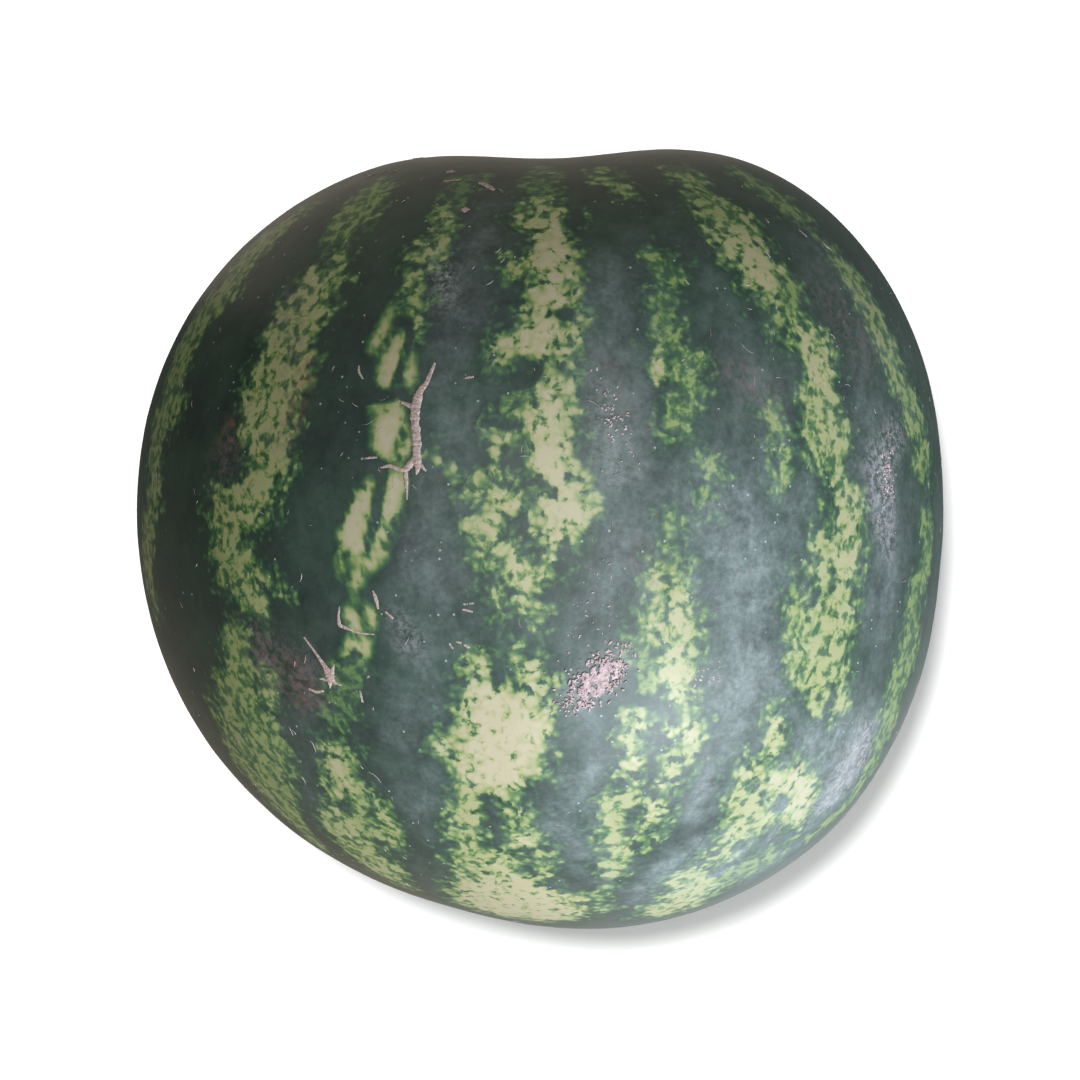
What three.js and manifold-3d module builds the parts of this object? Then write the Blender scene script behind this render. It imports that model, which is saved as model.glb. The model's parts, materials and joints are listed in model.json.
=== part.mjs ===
// A whole, uncut watermelon, lying on its side on the flattened patch where it lay as it grew.
// Millimetres. +Z is up and +Y points to the stem end.
// +X is to the right for someone who looks down on it with the stem end away from them.
// The origin is on the ground, under the middle of the fruit's box.
import * as THREE from "three";
import { mergeVertices } from "three/addons/utils/BufferGeometryUtils.js";
import Module from "manifold-3d";

const wasm = await Module();
wasm.setup();

// The rind is a round body whose radius swells and shrinks a little with direction.
// Each size below is how far one such change moves the rind from the mean radius.
const MEAN_RADIUS = 131;
const END_TO_END = -1.5; // the two ends, against the belt between them
const BLOSSOM_TAPER = -1.2; // the blossom half draws in and the stem half fills out
const SQUARE_SHOULDERS = -2; // ends and sides draw in, the shoulders between them stand out
const SLANT = -0.4; // one diagonal is longer than the other
const LOPSIDED = 2.7; // full on the left side, and on the two shoulders of the right side
const LOBES = 1.2; // the three fruit lobes, seen from an end

// The hollow at the stem end runs as a soft groove over the top of the fruit, with a small pit for the stem.
const GROOVE_DEPTH = 15;
const GROOVE_HALF_WIDTH = 0.28; // radians, across
const GROOVE_HALF_LENGTH = 0.5; // radians, along
const PIT_DEPTH = 3.5;
const PIT_HALF_WIDTH = 0.14;

// The blossom end swells into a low point, with a small dent at its tip.
const BLOSSOM_SWELL = 2.5;
const BLOSSOM_SWELL_HALF_WIDTH = 0.3; // radians
const BLOSSOM_DENT_DEPTH = 1.5;
const BLOSSOM_DENT_HALF_WIDTH = 0.12;

// The side that lay on the soil is flatter, and its middle is a true flat.
const GROUND_FLATTENING = 13;
const GROUND_HALF_WIDTH = 0.7; // radians
const CENTRE_HEIGHT = 114.6; // from the ground to the middle that the radii are measured from

// The two ends are not quite opposite: the middle line of the fruit bends.
const STEM_LEAN = THREE.MathUtils.degToRad(1);
const BLOSSOM_LEAN = THREE.MathUtils.degToRad(10);

// How finely the rind is divided. Rows lie closer together at the two ends.
const COLUMNS = 66;
const ROWS = 46;
const ROW_CROWDING = 0.55;

// The corky scars where the stem broke away and where the flower dried.
const STEM_SCAR_RADIUS = 7;
const STEM_SCAR_HEIGHT = 1.6;
const BLOSSOM_SCAR_RADIUS = 4.5;
const BLOSSOM_SCAR_HEIGHT = 0.9;
const SCAR_ROOT = 5; // how deep a scar's body goes into the rind
const SCAR_SIDES = 20;

const STEM_END = new THREE.Vector3(Math.sin(STEM_LEAN), Math.cos(STEM_LEAN), 0);
const BLOSSOM_END = new THREE.Vector3(Math.sin(BLOSSOM_LEAN), -Math.cos(BLOSSOM_LEAN), 0);
const DOWN = new THREE.Vector3(0, 0, -1);

const bump = (offset, halfWidth) => Math.exp(-((offset / halfWidth) ** 2));

// The radius of the rind in a direction, which is a unit vector from the middle of the fruit.
function rindRadius(direction) {
  const { x, y, z } = direction;
  const around = END_TO_END * (2 * y * y - 1)
    + BLOSSOM_TAPER * (4 * y ** 3 - 3 * y)
    + SQUARE_SHOULDERS * (8 * y ** 4 - 8 * y * y + 1);
  const sideways = SLANT * 2 * y + LOPSIDED * (4 * y * y - 1);
  const lobes = LOBES * (z ** 3 - 3 * z * x * x);

  const fromStem = direction.angleTo(STEM_END);
  const across = Math.atan2(x * STEM_END.y - y * STEM_END.x, Math.max(y, 0.001));
  const along = Math.atan2(z, Math.max(y, 0.001));
  const grooveShape = bump(across, GROOVE_HALF_WIDTH) * bump(along, GROOVE_HALF_LENGTH);
  const groove = y > 0 ? GROOVE_DEPTH * grooveShape : 0;
  const pit = PIT_DEPTH * bump(fromStem, PIT_HALF_WIDTH);
  const fromBlossom = direction.angleTo(BLOSSOM_END);
  const swell = BLOSSOM_SWELL * bump(fromBlossom, BLOSSOM_SWELL_HALF_WIDTH);
  const dent = BLOSSOM_DENT_DEPTH * bump(fromBlossom, BLOSSOM_DENT_HALF_WIDTH);
  const flattening = GROUND_FLATTENING * bump(direction.angleTo(DOWN), GROUND_HALF_WIDTH);
  return MEAN_RADIUS + around + x * sideways + lobes + swell - groove - pit - dent - flattening;
}

// The direction at a polar angle from the stem end and a turn about the fruit.
// The turn starts at the top and goes right.
function fruitDirection(polar, turn) {
  const share = (1 - Math.cos(polar)) / 2;
  const lean = STEM_LEAN * (1 - share) - BLOSSOM_LEAN * share;
  const x = Math.sin(polar) * Math.sin(turn);
  const y = Math.cos(polar);
  return new THREE.Vector3(
    x * Math.cos(lean) + y * Math.sin(lean),
    y * Math.cos(lean) - x * Math.sin(lean),
    Math.sin(polar) * Math.cos(turn),
  );
}

function rindPoint(direction) {
  const middle = new THREE.Vector3(0, 0, CENTRE_HEIGHT);
  return middle.addScaledVector(direction, rindRadius(direction));
}

// The whole rind as one closed net of rows between the two end points.
function rindGeometry() {
  const points = [rindPoint(STEM_END)];
  for (let row = 1; row < ROWS; row += 1) {
    const share = row / ROWS;
    const polar = Math.PI * share - (ROW_CROWDING / 2) * Math.sin(2 * Math.PI * share);
    for (let column = 0; column < COLUMNS; column += 1) {
      points.push(rindPoint(fruitDirection(polar, (2 * Math.PI * column) / COLUMNS)));
    }
  }
  points.push(rindPoint(BLOSSOM_END));

  const last = points.length - 1;
  const at = (row, column) => 1 + (row - 1) * COLUMNS + (column % COLUMNS);
  const faces = [];
  for (let column = 0; column < COLUMNS; column += 1) {
    faces.push(0, at(1, column), at(1, column + 1));
    faces.push(last, at(ROWS - 1, column + 1), at(ROWS - 1, column));
    for (let row = 1; row < ROWS - 1; row += 1) {
      faces.push(at(row, column), at(row + 1, column), at(row, column + 1));
      faces.push(at(row, column + 1), at(row + 1, column), at(row + 1, column + 1));
    }
  }
  const geometry = new THREE.BufferGeometry().setFromPoints(points);
  return geometry.setIndex(faces);
}

// A low round scar with a rolled rim and a sunken middle, standing along +Y, its root well inside the rind.
function scarGeometry(radius, height) {
  const profile = [
    [0, -SCAR_ROOT],
    [radius * 0.8, -SCAR_ROOT],
    [radius, -0.4],
    [radius * 0.92, height * 0.7],
    [radius * 0.74, height],
    [radius * 0.55, height * 0.6],
    [radius * 0.25, height * 0.25],
    [0, height * 0.35],
  ];
  const points = profile.map(([x, y]) => new THREE.Vector2(x, y));
  return new THREE.LatheGeometry(points, SCAR_SIDES);
}

// A scar is set on the rind at one end of the fruit, standing straight out of it.
function placedScar(radius, height, end) {
  const stand = new THREE.Quaternion().setFromUnitVectors(new THREE.Vector3(0, 1, 0), end);
  const place = new THREE.Matrix4().compose(rindPoint(end), stand, new THREE.Vector3(1, 1, 1));
  return scarGeometry(radius, height).applyMatrix4(place);
}

function solidOf(geometry) {
  const bare = geometry.clone();
  bare.deleteAttribute("normal");
  bare.deleteAttribute("uv");
  const merged = mergeVertices(bare, 1e-3);
  return new wasm.Manifold(new wasm.Mesh({
    numProp: 3,
    vertProperties: merged.attributes.position.array,
    triVerts: new Uint32Array(merged.index.array),
  }));
}

function geometryOf(solid) {
  const { numProp, vertProperties, triVerts, numVert } = solid.getMesh();
  const positions = new Float32Array(numVert * 3);
  for (let i = 0; i < numVert; i += 1) {
    positions.set(vertProperties.subarray(i * numProp, i * numProp + 3), i * 3);
  }
  const geometry = new THREE.BufferGeometry();
  geometry.setAttribute("position", new THREE.BufferAttribute(positions, 3));
  geometry.setIndex(new THREE.BufferAttribute(triVerts, 1));
  geometry.computeVertexNormals();
  return geometry;
}

// What is left of the ground patch is cut off level, so that the fruit rests on a true flat.
function levelled(solid) {
  const size = 3 * MEAN_RADIUS;
  const ground = new THREE.BoxGeometry(size, size, size).translate(0, 0, -size / 2);
  return solid.subtract(solidOf(ground));
}

function watermelon() {
  const rind = solidOf(rindGeometry());
  const stemScar = solidOf(placedScar(STEM_SCAR_RADIUS, STEM_SCAR_HEIGHT, STEM_END));
  const blossomScar = solidOf(placedScar(BLOSSOM_SCAR_RADIUS, BLOSSOM_SCAR_HEIGHT, BLOSSOM_END));
  const geometry = geometryOf(levelled(rind.add(stemScar).add(blossomScar)));

  geometry.computeBoundingBox();
  const middle = geometry.boundingBox.getCenter(new THREE.Vector3());
  geometry.translate(-middle.x, -middle.y, 0);

  const skin = new THREE.MeshStandardMaterial({ color: 0x3a5142, roughness: 0.5, metalness: 0 });
  const mesh = new THREE.Mesh(geometry, skin);
  mesh.name = "watermelon";
  return mesh;
}

const fruit = new THREE.Group();
fruit.add(watermelon());

export default fruit;
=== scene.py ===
# %% [markdown]
# A whole, uncut watermelon, seen from straight above as it lies on the patch where it grew.
# The measured solid is already there as the frame. This script gives it a finely divided rind,
# the light and dark stripes, the wax bloom with a painted sheen in it, and the corky scars that healed on
# the growing skin.
# All lengths in the script are millimetres and become metres only when a mesh is made.

# %% Load the frame
import json
import math

import bpy
import numpy as np
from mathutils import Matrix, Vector, noise

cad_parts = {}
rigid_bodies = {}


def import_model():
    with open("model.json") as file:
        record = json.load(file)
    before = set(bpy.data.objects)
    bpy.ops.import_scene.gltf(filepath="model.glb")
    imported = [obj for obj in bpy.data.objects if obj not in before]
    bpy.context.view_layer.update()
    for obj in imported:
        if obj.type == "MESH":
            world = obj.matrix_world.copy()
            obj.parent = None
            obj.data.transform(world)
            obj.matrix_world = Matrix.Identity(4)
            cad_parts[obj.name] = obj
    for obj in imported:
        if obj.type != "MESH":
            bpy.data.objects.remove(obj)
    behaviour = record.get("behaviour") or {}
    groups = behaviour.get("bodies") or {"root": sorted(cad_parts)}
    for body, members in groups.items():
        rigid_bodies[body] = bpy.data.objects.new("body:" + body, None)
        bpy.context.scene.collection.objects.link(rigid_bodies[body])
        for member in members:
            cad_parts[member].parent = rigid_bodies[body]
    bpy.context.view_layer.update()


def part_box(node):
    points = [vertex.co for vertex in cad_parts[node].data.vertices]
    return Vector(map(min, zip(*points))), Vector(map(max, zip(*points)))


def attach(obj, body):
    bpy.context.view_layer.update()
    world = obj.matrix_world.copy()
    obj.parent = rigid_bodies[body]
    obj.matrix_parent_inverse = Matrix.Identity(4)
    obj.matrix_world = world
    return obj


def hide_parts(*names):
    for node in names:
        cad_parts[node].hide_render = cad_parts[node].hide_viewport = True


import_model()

MM = 0.001
low, high = (np.array(corner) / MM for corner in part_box("watermelon"))
box_middle = (low + high) / 2
print("solid from", low.round(1), "to", high.round(1), "mm")

# %% [markdown]
# The fruit is nearly a ball, and what makes it this fruit are small, wide changes of its radius.
# A sculpted mesh would hold them too, but a formula for the radius in each direction is exact
# everywhere, so the fine rind and the solid agree, and a scar can be set on it at any point.

# %% Shape of the rind
MEAN_RADIUS = 131
END_TO_END = -1.5
BLOSSOM_TAPER = -1.2
SQUARE_SHOULDERS = -2
SLANT = -0.4
LOPSIDED = 2.7
LOBES = 1.2
GROOVE_DEPTH, GROOVE_HALF_WIDTH, GROOVE_HALF_LENGTH = 15, 0.28, 0.5
PIT_DEPTH, PIT_HALF_WIDTH = 3.5, 0.14
BLOSSOM_SWELL, BLOSSOM_SWELL_HALF_WIDTH = 2.5, 0.3
BLOSSOM_DENT_DEPTH, BLOSSOM_DENT_HALF_WIDTH = 1.5, 0.12
GROUND_FLATTENING, GROUND_HALF_WIDTH = 13, 0.7
CENTRE_HEIGHT = 114.6
STEM_LEAN, BLOSSOM_LEAN = math.radians(1), math.radians(10)

STEM_END = np.array([math.sin(STEM_LEAN), math.cos(STEM_LEAN), 0])
BLOSSOM_END = np.array([math.sin(BLOSSOM_LEAN), -math.cos(BLOSSOM_LEAN), 0])
DOWN = np.array([0, 0, -1.0])


def swell(offset, half_width):
    return np.exp(-((offset / half_width) ** 2))


def angle_to(direction, axis):
    return np.arccos(np.clip(direction @ axis, -1, 1))


def rind_radius(direction):
    x, y, z = direction[..., 0], direction[..., 1], direction[..., 2]
    around = (END_TO_END * (2 * y * y - 1)
              + BLOSSOM_TAPER * (4 * y ** 3 - 3 * y)
              + SQUARE_SHOULDERS * (8 * y ** 4 - 8 * y * y + 1))
    sideways = SLANT * 2 * y + LOPSIDED * (4 * y * y - 1)
    lobes = LOBES * (z ** 3 - 3 * z * x * x)
    ahead = np.maximum(y, 0.001)
    across = np.arctan2(x * STEM_END[1] - y * STEM_END[0], ahead)
    along = np.arctan2(z, ahead)
    groove = GROOVE_DEPTH * swell(across, GROOVE_HALF_WIDTH) * swell(along, GROOVE_HALF_LENGTH)
    pit = PIT_DEPTH * swell(angle_to(direction, STEM_END), PIT_HALF_WIDTH)
    from_blossom = angle_to(direction, BLOSSOM_END)
    tip = (BLOSSOM_SWELL * swell(from_blossom, BLOSSOM_SWELL_HALF_WIDTH)
           - BLOSSOM_DENT_DEPTH * swell(from_blossom, BLOSSOM_DENT_HALF_WIDTH))
    ground = GROUND_FLATTENING * swell(angle_to(direction, DOWN), GROUND_HALF_WIDTH)
    return MEAN_RADIUS + around + x * sideways + lobes + tip - np.where(y > 0, groove, 0) - pit - ground


# %% [markdown]
# The skin is laid as a net of rows from the stem end to the blossom end, because that is how the
# stripes run. The two ends are not quite opposite, so the line between them leans a little more
# towards the blossom end. The net also gives every point a place on a flat map for baking.

# %% Net of the rind
ROWS, COLUMNS = 206, 464
ROW_CROWDING = 0.35


def fruit_direction(polar, turn):
    share = (1 - np.cos(polar)) / 2
    lean = STEM_LEAN * (1 - share) - BLOSSOM_LEAN * share
    x, y = np.sin(polar) * np.sin(turn), np.cos(polar)
    return np.stack([x * np.cos(lean) + y * np.sin(lean),
                     y * np.cos(lean) - x * np.sin(lean),
                     np.sin(polar) * np.cos(turn)], axis=-1)


share = np.arange(ROWS + 1) / ROWS
polar_rows = math.pi * share - ROW_CROWDING / 2 * np.sin(2 * math.pi * share)
turn_columns = 2 * math.pi * np.arange(COLUMNS) / COLUMNS
net = fruit_direction(polar_rows[:, None], turn_columns[None, :])
net_mm = net * rind_radius(net)[..., None]
outline = net_mm.reshape(-1, 3)
middle = box_middle - (outline.min(0) + outline.max(0)) / 2
middle[2] = CENTRE_HEIGHT
print("radii are measured from", middle.round(2), "mm")

# %% [markdown]
# Things on the skin are placed as the eye sees them: so many millimetres right and up of the
# middle, on a sheet held through the middle of the fruit, with the eye above. A line of sight is
# followed through that sheet until it meets the rind. A stroke that runs over the edge of the
# fruit looks narrow there, so its true width on the skin is worked out from the same lines.

# %% Lines of sight
CAMERA_DISTANCE = 900
FRAME_WIDTH = 352
HALVINGS = 24
WIDEST_STRETCH = 2.6
eye = np.array([0, 0, CENTRE_HEIGHT + CAMERA_DISTANCE])


def rind_point(direction):
    return middle + direction * rind_radius(direction)[..., None]


def seen(right, up):
    """The points of the rind that show at these places on the sheet."""
    sheet = np.stack([right, up, np.full(np.shape(right), CENTRE_HEIGHT)], axis=-1)
    ray = sheet - eye
    nearest = ((middle - eye) * ray).sum(-1) / (ray * ray).sum(-1)
    start, end = np.full(nearest.shape, 0.5), nearest
    for _ in range(HALVINGS):
        half = (start + end) / 2
        arm = eye + ray * half[..., None] - middle
        reach = np.linalg.norm(arm, axis=-1)
        outside = reach > rind_radius(arm / reach[..., None])
        start, end = np.where(outside, half, start), np.where(outside, end, half)
    return eye + ray * end[..., None]


def even_steps(points, step):
    """The same route with a point every step, and its widths in between."""
    points = np.array(points, float)
    runs = np.r_[0, np.cumsum(np.linalg.norm(np.diff(points[:, :2], axis=0), axis=1))]
    places = np.linspace(0, runs[-1], max(2, int(runs[-1] / step) + 1))
    return np.stack([np.interp(places, runs, points[:, k]) for k in range(points.shape[1])], axis=1)


def stroke_on_rind(points, step=3):
    route = even_steps(points, step)
    heading = np.gradient(route[:, :2], axis=0)
    heading /= np.linalg.norm(heading, axis=1)[:, None] + 1e-9
    side = np.stack([-heading[:, 1], heading[:, 0]], axis=1)
    one, other = seen(*(route[:, :2] + side).T), seen(*(route[:, :2] - side).T)
    stretch = np.clip(np.linalg.norm(one - other, axis=1) / 2, 1, WIDEST_STRETCH)
    return seen(route[:, 0], route[:, 1]), route[:, 2] * stretch


# %% [markdown]
# The seven light stripes that face the eye are laid as strokes whose points are right,
# up and half width. Each has a paleness: how far its middle turns from leaf green to cream.
# The jagged edge between stripe and ground is left to the material, which is finer than any net.
# How ragged it is goes with the stroke: little at the smooth islands, most on the far side.

# %% Light stripes that face the eye
WILD, RAGGED, SMOOTH = 1.5, 1.0, 0.28

FACING_STRIPES = [
    # far left, running down the edge
    (0.5, [(-76, 108, 1.5), (-83, 103, 2.5), (-92, 96, 3), (-98, 88, 4), (-102, 82, 4),
           (-109, 76, 2.5)]),
    (0.5, [(-108, 74, 2.5), (-115, 65, 3.5), (-118, 56, 4), (-120, 46, 4), (-124, 37, 4),
           (-126, 28, 3)]),
    (0.55, [(-126, 25, 3), (-126, 14, 3), (-128, 3, 3), (-128, -8, 2.5), (-126, -20, 2)]),
    # second from the left
    (0.45, [(-52, 117, 1.5), (-57, 111, 3), (-62, 104, 4), (-66, 98, 2)]),
    (0.52, [(-66, 89, 3), (-67, 83, 3.5), (-66, 78, 2)]),
    (0.6, [(-73, 86, 3.5), (-75, 79, 6), (-79, 71, 7.5), (-82, 63, 8), (-85, 55, 8.5), (-88, 48, 9),
           (-90, 41, 9.5), (-89, 34, 9.5), (-87, 27, 6.5), (-89, 21, 5.5), (-92, 15, 7), (-99, 13, 8),
           (-103, 7, 5.5)]),
    (0.55, [(-103, 18, 5), (-104, 8, 5), (-101, 0, 5.5), (-98, -7, 4.5), (-96, -13, 5), (-95, -18, 4.5),
            (-91, -24, 2)]),
    (0.5, [(-104, -5, 3), (-102, -12, 3.5)]),
    (0.8, [(-91, -13, 1.2), (-88, -14.5, 2.2), (-84, -16, 0.8)]),
    (0.5, [(-99, -30, 3), (-99, -38, 4), (-98, -46, 5), (-97, -53, 6), (-96, -60, 8.5), (-94, -67, 8),
           (-93, -74, 6.5), (-89, -80, 4), (-82, -90, 3), (-74, -98, 2)]),
    (0.55, [(-88, -44, 2.4)] * 2),
    (0.6, [(-88, -51, 2), (-88, -58, 2)]),
    # third, above and below the leaf-like islands
    (0.3, [(-22, 118, 2), (-28, 110, 2)]),
    (0.55, [(-31, 107, 3), (-33, 99, 3.5), (-35, 93, 3.5), (-40, 90, 3.5), (-41, 82, 2.5), (-40, 75, 3),
            (-41, 69, 2)]),
    (0.35, [(-60, -41, 3), (-64, -49, 4), (-66, -58, 4)]),
    (0.8, [(-70, -66, 2), (-67, -72, 3.5), (-65, -78, 4.8), (-66, -85, 2.5)]),
    (0.5, [(-65, -67, 2.2), (-60, -78, 3), (-57, -87, 4), (-57, -95, 4)]),
    (0.6, [(-64, -93, 4), (-60, -99, 4), (-54, -105, 4), (-49, -110, 2.5)]),
    (0.6, [(-52, -88, 2), (-49, -94, 3), (-49, -100, 2.5)]),
    # middle, narrow above and broad below
    (0.35, [(1, 121, 2), (1, 114, 5)]),
    (0.65, [(0, 110, 4.5), (1, 104, 6), (9, 108, 2)]),
    (0.9, [(3, 102, 6), (4, 95, 7.5), (4.5, 87, 7.5), (4.5, 79, 8), (2, 72, 8), (1, 66, 7)]),
    (0.9, [(-4, 69, 4.5), (-9, 65, 4.5), (-12, 61, 3)]),
    (0.75, [(10, 74, 3), (10, 67, 2.8)]),
    (0.85, [(2, 64, 3), (2, 58, 2)]),
    (0.55, [(-9, 92, 2), (-8, 87, 2)]),
    (0.9, [(7, 53, 3), (4, 48, 5.5), (3, 43, 7.5), (3, 35, 7.5), (2, 28, 7), (5, 20, 8.5), (7, 13, 9),
           (6, 5, 8)]),
    (0.5, [(-6, 43, 3.5), (-5, 36, 2)]),
    (0.9, [(4, 1, 4), (4, -5, 3.2), (5, -10, 1.8)]),
    (0.6, [(13, 25, 2.2), (13, 21, 1.5)]),
    (0.7, [(-14, 33, 2.6), (-15, 26, 3), (-18, 21, 1.6)]),
    (0.65, [(-33, 26, 1.6), (-27, 22, 1.4)]),
    (0.55, [(-24, 17, 2.5), (-20, 14, 2.5)]),
    (0.72, [(-12, 19, 4), (-13, 12, 6.5), (-15, 5, 7), (-15, 0, 6), (-9, -5, 5), (-6, -11, 5),
            (-6, -17, 4)]),
    (0.75, [(-18, -6, 2.4)] * 2),
    (0.55, [(-16, -17, 2), (-13, -22, 2.4), (-9, -26, 2)]),
    (0.6, [(-5.5, -22, 1.8), (-5.5, -26, 1.8)]),
    (0.5, [(1, -24, 1.8), (0, -33, 2)]),
    (0.95, [(-6, -36, 2), (-5, -41, 4.5), (-3, -47, 5.5)]),
    (0.9, [(-24, -39, 2), (-20, -43, 4.5), (-20, -49, 6)]),
    (1.0, [(-12, -53, 12), (-12, -58, 15), (-12, -64, 14.5), (-13, -70, 13.5), (-15, -75, 11)]),
    (0.95, [(-32, -68, 2), (-28, -72, 4), (-22, -77, 4.5)]),
    (0.95, [(-15.5, -78, 2.4), (-15, -82, 1)]),
    (0.95, [(-4, -75, 3), (-4, -79, 1.4)]),
    (0.4, [(3, -68, 3), (3, -74, 2.5)]),
    (0.62, [(-24, -82, 5.5), (-25, -89, 5), (-24, -96, 5), (-24, -104, 5)]),
    (0.9, [(-8.5, -88, 1.8), (-5, -93, 4), (-5, -99, 4)]),
    (0.7, [(-14, -103, 4), (-12, -109, 6), (-10, -115, 10)]),
    (0.85, [(-12, -114, 8), (-8, -119, 9), (3, -120, 5)]),
    (0.55, [(1, -103, 3.5), (1, -108, 3)]),
    # fifth, faint above and forked below
    (0.5, [(20, 120, 1.4), (23, 117, 2), (28, 112, 1)]),
    (0.46, [(36, 93, 2), (38, 87, 2)]),
    (0.44, [(43, 90, 2.4), (42, 74, 3.5), (40, 66, 3), (45, 60, 4)]),
    (0.8, [(38, 62, 1), (39, 57, 1.8), (40, 53, 1.4)]),
    (0.46, [(48, 56, 4), (50, 48, 4), (44, 36, 2.5)]),
    (0.45, [(54, 26, 2), (58, 22, 2.4), (53, 16, 2), (55, 9, 2)]),
    (0.45, [(44, 8, 2.5), (45, -4, 2.5)]),
    (0.62, [(37, -12, 3), (38, -20, 3.5), (38, -28, 3.5)]),
    (0.7, [(44, -10, 3.5), (46, -18, 4.5), (44, -26, 5), (43, -34, 7.5), (44, -41, 7), (46, -49, 4.5)]),
    (0.5, [(50, -30, 3.5), (51, -40, 3.5)]),
    (0.4, [(33, -36, 4), (35, -44, 4)]),
    (0.85, [(31, -58, 3), (31, -64, 4.2), (31, -71, 4.5), (30, -78, 3.8)]),
    (0.6, [(30, -83, 4), (24, -87, 5), (25, -94, 4.5), (25, -101, 4.5), (25, -108, 4)]),
    (0.5, [(20, -114, 3), (20, -120, 2.5)]),
    (1.0, [(48, -59, 4), (47, -65, 5.8), (46, -70, 5), (43, -75, 4), (39.5, -81, 3.2)]),
    (0.85, [(37, -87, 3.5), (35, -93, 4), (34, -99, 3)]),
    # sixth
    (0.5, [(46, 119, 2), (53, 114, 3), (58, 108, 4.5), (63, 102, 6.5)]),
    (0.72, [(63, 102, 6), (68, 94, 7.5), (73, 86, 6.5), (76, 78, 4)]),
    (0.42, [(80, 82, 4), (80, 73, 4), (77, 68, 3)]),
    (0.7, [(82, 70, 2.5), (87, 66, 5.5), (91, 60, 6), (91, 53, 5)]),
    (0.5, [(76, 41, 3), (77, 34, 4), (80, 29, 3)]),
    (0.6, [(78, 20, 3.2)] * 2),
    (0.58, [(90, 46, 5), (93, 40, 7), (94, 33, 7.5), (92, 27, 3.5)]),
    (0.68, [(98, 17, 3.5), (101, 11, 5), (101, 4, 5), (101, -4, 6), (98, -9, 6)]),
    (0.6, [(94, 8, 2), (92, 1, 2.4), (91, -5, 4), (93, -11, 4)]),
    (0.45, [(83, -15, 2.4)] * 2),
    (0.6, [(97, -18, 6), (96, -25, 7), (93, -31, 9), (91, -38, 9), (92, -46, 5), (92, -54, 2)]),
    (0.55, [(84, -26, 4), (83, -34, 5), (86, -41, 5)]),
    (0.6, [(98, -44, 3), (98, -53, 3)]),
    (1.0, [(76, -57, 2), (76, -64, 2.8), (75, -70, 3)]),
    (1.0, [(72, -76, 4), (79, -78, 6.5), (86, -79, 5.5), (86, -85, 4.5), (84, -90, 3)]),
    (0.62, [(66, -73, 3), (65, -82, 5), (69, -88, 6.5), (66, -95, 5), (73, -92, 3)]),
    (0.7, [(62, -97, 2.5), (58, -103, 3)]),
    (0.65, [(48, -111, 4), (53, -113, 4), (46, -118, 4.5), (40, -121, 3)]),
    (0.4, [(60, -111, 3), (70, -106, 3), (77, -102, 2.5)]),
    # far right, running down the edge
    (0.45, [(66, 119, 1.5), (76, 113, 2.5), (85, 105, 2)]),
    (0.5, [(97, 91, 2), (104, 82, 2.5), (110, 70, 3), (115, 58, 3), (119, 47, 2.5), (123, 38, 3),
           (125, 27, 3)]),
    (0.45, [(126, 5, 2), (126, -5, 2), (122, -22, 2.5), (121, -31, 3.5), (119, -40, 3.5), (115, -51, 3),
            (113, -60, 3), (111, -67, 2), (106, -78, 2), (98, -88, 2), (90, -95, 1.5)]),
]

# The third stripe breaks up into smooth islands where the large scar drew the skin together.
LEAF_ISLANDS = [
    (0.75, [(-49, 74, 1), (-50.5, 70, 1.8), (-53.5, 64, 1.6), (-55, 62, 0.6)]),
    (0.9, [(-44, 68, 1), (-46, 63, 3), (-48.5, 57, 4), (-50, 51, 3.4), (-46, 50, 3)]),
    (0.7, [(-43, 60, 2.5), (-43.5, 53, 3), (-43, 48, 1.6)]),
    (0.8, [(-55, 43, 0.8), (-51, 45, 1.8), (-46, 44, 2)]),
    (1.0, [(-46, 40.5, 2), (-49, 37, 5), (-49, 32, 5.6), (-48, 27, 3.4)]),
    (0.75, [(-44, 33, 3), (-45, 28, 2)]),
    (0.95, [(-47, 20, 3.4), (-49, 14, 4), (-50, 8, 4)]),
    (0.95, [(-55, 19, 1.5), (-58, 13, 4), (-60, 6, 5), (-61, 0, 5), (-58, -3, 3)]),
    (0.9, [(-52, 3, 4), (-53, -3, 3.4), (-56, -7, 3)]),
    (0.9, [(-59.5, -9, 1.4), (-59.5, -13, 2.4), (-61, -16, 1)]),
    (0.9, [(-65.5, -6, 0.9), (-65.4, -10, 1.1)]),
    (1.0, [(-62, -24, 2), (-60, -26.5, 3)]),
    (1.0, [(-58, -22, 1.2), (-55.5, -24.5, 2.4), (-55, -28, 1.4)]),
    (1.0, [(-63.5, -37, 1.6), (-61, -33.5, 2.2), (-57, -33, 2), (-57, -36.5, 2)]),
]

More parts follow.
